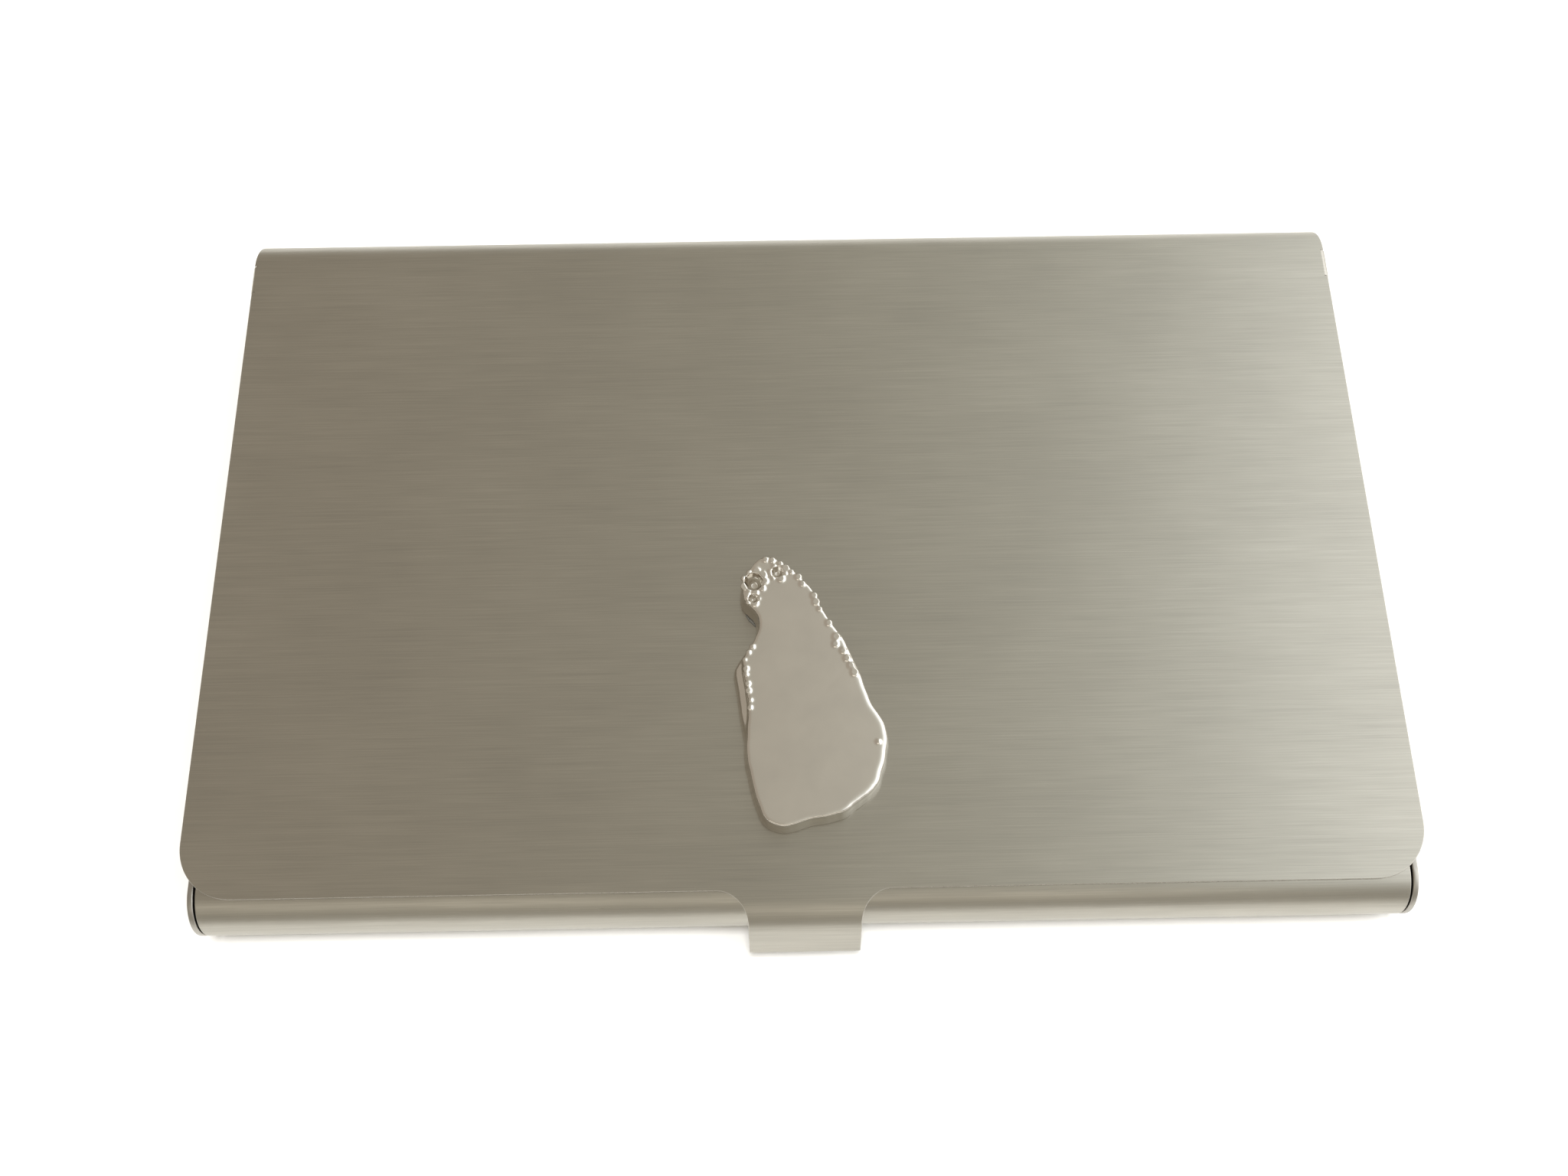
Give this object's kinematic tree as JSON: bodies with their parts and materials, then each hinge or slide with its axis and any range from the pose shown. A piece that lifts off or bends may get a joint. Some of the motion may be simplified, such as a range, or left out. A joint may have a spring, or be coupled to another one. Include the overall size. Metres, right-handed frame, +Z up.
{
  "type": "business card case",
  "caption": "Slim flip-top business card case in brushed steel sheet, with rolled front and rear edges, a thumb tab, a hinged lid that lifts the cards, and a cast charm on the lid.",
  "frame": {"origin": "bottom centre of the closed case, on the surface it rests on", "axes": "+X along the width to the right, -Y towards the front with the thumb tab, +Z up through the lid"},
  "size_m": [0.0948, 0.0618, 0.0093],
  "materials": {
    "brushed_sheet": "brushed along the width",
    "end_plate_sheet": "satin, sheared edges",
    "rivet_steel": "bright, upset by hand tool",
    "washer_steel": "plain rolled spring steel",
    "polished_plate": "polished silver-coloured plating on a casting",
    "adhesive": "cured clear adhesive film"
  },
  "bodies": {
    "base": {"base_shell": "brushed_sheet", "left_end_plate": "end_plate_sheet", "right_end_plate": "end_plate_sheet", "left_hinge_rivet": "rivet_steel", "right_hinge_rivet": "rivet_steel", "left_hinge_washer": "washer_steel", "right_hinge_washer": "washer_steel"},
    "lid": {"lid_shell": "brushed_sheet", "charm": "polished_plate", "charm_adhesive": "adhesive"}
  },
  "joints": [
    {"name": "lid_hinge", "type": "hinge", "parent": "base", "child": "lid", "pos_m": [0, 0.02748, 0.0034], "axis": [-1, 0, 0], "range_deg": [0, 110]}
  ]
}
